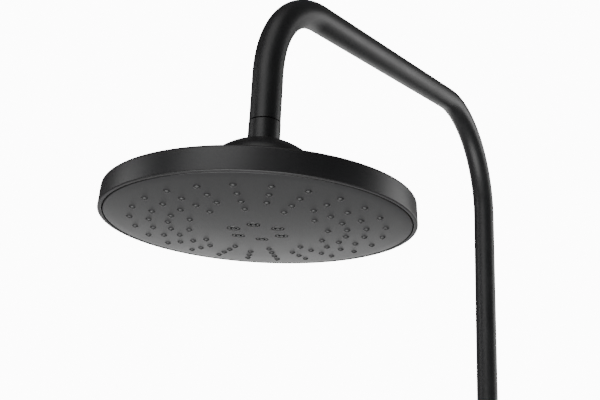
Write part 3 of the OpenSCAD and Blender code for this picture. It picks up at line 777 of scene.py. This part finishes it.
def makeFloor():
    bm = bmesh.new()
    bmesh.ops.create_grid(bm, x_segments=8, y_segments=8, size=studio["floorSize"] / 2)
    bmesh.ops.translate(bm, verts=bm.verts, vec=(0, 0, cadBox[0][2] - studio["floorDrop"]))
    mesh = bpy.data.meshes.new("floor")
    bm.to_mesh(mesh)
    bm.free()
    floor = bpy.data.objects.new("floor", mesh)
    scene.collection.objects.link(floor)
    mat = bpy.data.materials.new("paleFloor")
    mat.use_nodes = True
    shader = next(n for n in mat.node_tree.nodes if n.type == "BSDF_PRINCIPLED")
    shader.inputs["Base Color"].default_value = (*studio["floorColour"], 1)
    shader.inputs["Roughness"].default_value = 0.8
    # pale to the eye, without throwing light up at the dark pieces
    path = mat.node_tree.nodes.new("ShaderNodeLightPath")
    glow = mat.node_tree.nodes.new("ShaderNodeMath")
    glow.operation = "MULTIPLY"
    glow.inputs[1].default_value = studio["floorGlow"]
    mat.node_tree.links.new(path.outputs["Is Camera Ray"], glow.inputs[0])
    mat.node_tree.links.new(glow.outputs["Value"], shader.inputs["Emission Strength"])
    shader.inputs["Emission Color"].default_value = (1, 1, 1, 1)
    floor.data.materials.append(mat)


def makeWorld():
    # the background is white; the light it gives is low but for a band behind, near the horizon
    world = bpy.data.worlds.new("studio")
    scene.world = world
    world.use_nodes = True
    nodes, links = world.node_tree.nodes, world.node_tree.links
    nodes.clear()
    out = nodes.new("ShaderNodeOutputWorld")
    mix = nodes.new("ShaderNodeMixShader")
    path = nodes.new("ShaderNodeLightPath")
    coord = nodes.new("ShaderNodeTexCoord")
    parts = nodes.new("ShaderNodeSeparateXYZ")
    links.new(coord.outputs["Generated"], parts.inputs["Vector"])
    fill, back = nodes.new("ShaderNodeBackground"), nodes.new("ShaderNodeBackground")

    def ramp(source, fromLow, fromHigh, toLow, toHigh):
        fit = nodes.new("ShaderNodeMapRange")
        fit.interpolation_type = "SMOOTHSTEP"
        for key, value in (("From Min", fromLow), ("From Max", fromHigh), ("To Min", toLow),
                           ("To Max", toHigh)):
            fit.inputs[key].default_value = value
        links.new(source, fit.inputs["Value"])
        return fit.outputs["Result"]

    def multiply(first, second):
        times = nodes.new("ShaderNodeMath")
        times.operation = "MULTIPLY"
        links.new(first, times.inputs[0])
        links.new(second, times.inputs[1])
        return times.outputs["Value"]

    behind = ramp(parts.outputs["Y"], *studio["bandAcross"], 0.0, 1.0)
    rising = ramp(parts.outputs["Z"], *studio["bandBelow"], 0.0, 1.0)
    falling = ramp(parts.outputs["Z"], *studio["bandAbove"], 1.0, studio["bandTop"])
    band = multiply(multiply(behind, rising), falling)
    level = ramp(band, 0.0, 1.0, studio["fill"], studio["band"])
    links.new(level, fill.inputs["Strength"])
    fill.inputs["Color"].default_value = (1, 1, 1, 1)
    back.inputs["Color"].default_value = (1, 1, 1, 1)
    back.inputs["Strength"].default_value = studio["backdrop"]
    links.new(path.outputs["Is Camera Ray"], mix.inputs["Fac"])
    links.new(fill.outputs["Background"], mix.inputs[1])
    links.new(back.outputs["Background"], mix.inputs[2])
    links.new(mix.outputs["Shader"], out.inputs["Surface"])


def softbox(name, power, side, offset):
    lamp = bpy.data.lights.new(name, "AREA")
    lamp.shape = "SQUARE"
    lamp.size, lamp.energy = side, power
    light = bpy.data.objects.new(name, lamp)
    scene.collection.objects.link(light)
    target = headAt + Vector((0, 0.1, 0.08))
    light.location = target + Vector(offset)
    light.rotation_euler = (target - light.location).to_track_quat("-Z", "Y").to_euler()


def makeCamera():
    view = dict(azimuth=31.07, elevation=-18.10, roll=2.82, lens=52.35,
                offset=(0.2947, -0.4396, -0.1549))
    a, e, r = (radians(view[k]) for k in ("azimuth", "elevation", "roll"))
    back = Vector((sin(a) * cos(e), -cos(a) * cos(e), sin(e)))
    right = Vector((cos(a), sin(a), 0))
    up = back.cross(right)
    side = right * cos(r) + up * sin(r)
    top = up * cos(r) - right * sin(r)
    data = bpy.data.cameras.new("camera")
    data.lens, data.sensor_width = view["lens"], 36.0
    data.clip_start, data.clip_end = 0.01, 100.0
    cam = bpy.data.objects.new("camera", data)
    scene.collection.objects.link(cam)
    turn = Matrix((side, top, back)).transposed().to_4x4()
    cam.matrix_world = Matrix.Translation(headAt + Vector(view["offset"])) @ turn
    scene.camera = cam


makeFloor()
makeWorld()
softbox("key", studio["keyPower"], studio["keySize"], studio["keyAt"])
softbox("rim", studio["rimPower"], studio["rimSize"], studio["rimAt"])
softbox("left", studio["leftPower"], studio["leftSize"], studio["leftAt"])
softbox("top", studio["topPower"], studio["topSize"], studio["topAt"])
softbox("below", studio["belowPower"], studio["belowSize"], studio["belowAt"])
softbox("under", studio["underPower"], studio["underSize"], studio["underAt"])
makeCamera()
bpy.context.scene.camera = scene.camera
print("studio made")
